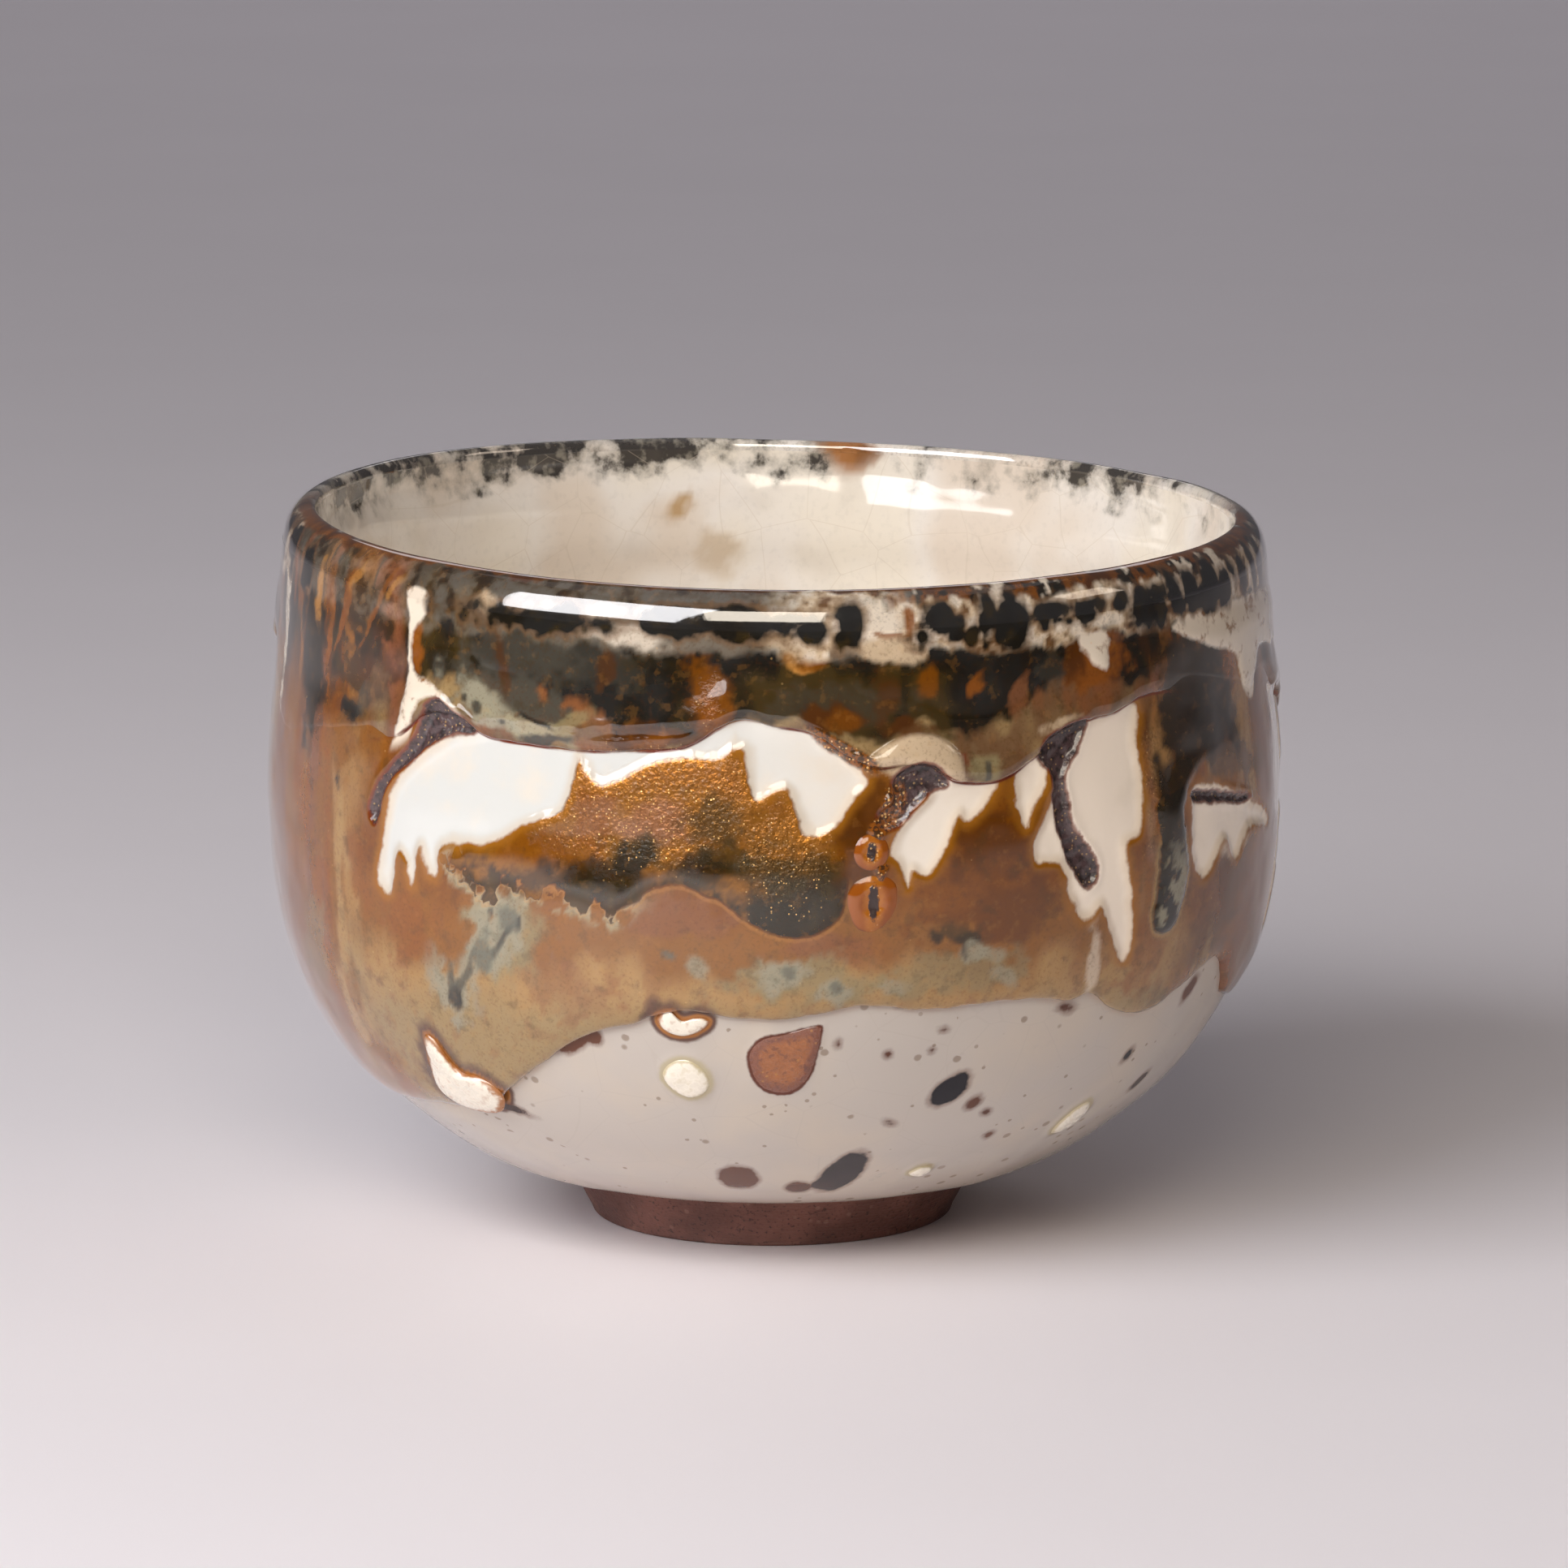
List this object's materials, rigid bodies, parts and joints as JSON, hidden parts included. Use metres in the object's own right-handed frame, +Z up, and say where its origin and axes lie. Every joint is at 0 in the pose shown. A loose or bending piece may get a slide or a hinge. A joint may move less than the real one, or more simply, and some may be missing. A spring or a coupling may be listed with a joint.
{
  "type": "matcha tea bowl",
  "caption": "Round-bellied tea bowl with a turned foot, a rolled lip, and black and amber glaze coats poured over a white one.",
  "frame": {"origin": "centre of the foot's flat underside", "axes": "+Z up along the bowl's axis, through the mouth; -Y is the front, where the dark run comes down; +X is to the right seen from the front"},
  "size_m": [0.1191, 0.1208, 0.0847],
  "materials": {
    "clay": "fired stoneware, under the glaze",
    "foot_clay": "bare dark red-brown clay, matte and slightly gritty",
    "cream_lining": "glossy warm cream glaze with grey streaks under the lip",
    "white_ground": "glossy warm white glaze with fine crackle",
    "amber_coat": "glossy tan to amber glaze with rusty and metallic patches",
    "black_coat": "glossy olive-black glaze with cream and amber streaks",
    "lip_glaze": "thin glossy amber glaze along the lip",
    "black_run": "thick glossy black glaze run",
    "slate_run": "blue-grey glaze run with a pale teal edge",
    "rust_bead": "rusty iron bead with a dark crater",
    "stone": "white feldspar stone glazed over, with a brown-mauve rim"
  },
  "bodies": {
    "root": {"clay_body": "clay", "foot_ring": "foot_clay", "lining_glaze": "cream_lining", "ground_glaze": "white_ground", "amber_glaze": "amber_coat", "black_glaze": "black_coat", "lip_glaze": "lip_glaze", "front_run": "black_run", "right_run": "black_run", "slate_run": "slate_run", "upper_rust_bead": "rust_bead", "lower_rust_bead": "rust_bead", "rust_stone": "rust_bead", "long_stone": "stone", "heart_stone": "stone", "round_stone": "stone", "right_stone": "stone", "low_stone": "stone"}
  },
  "joints": []
}
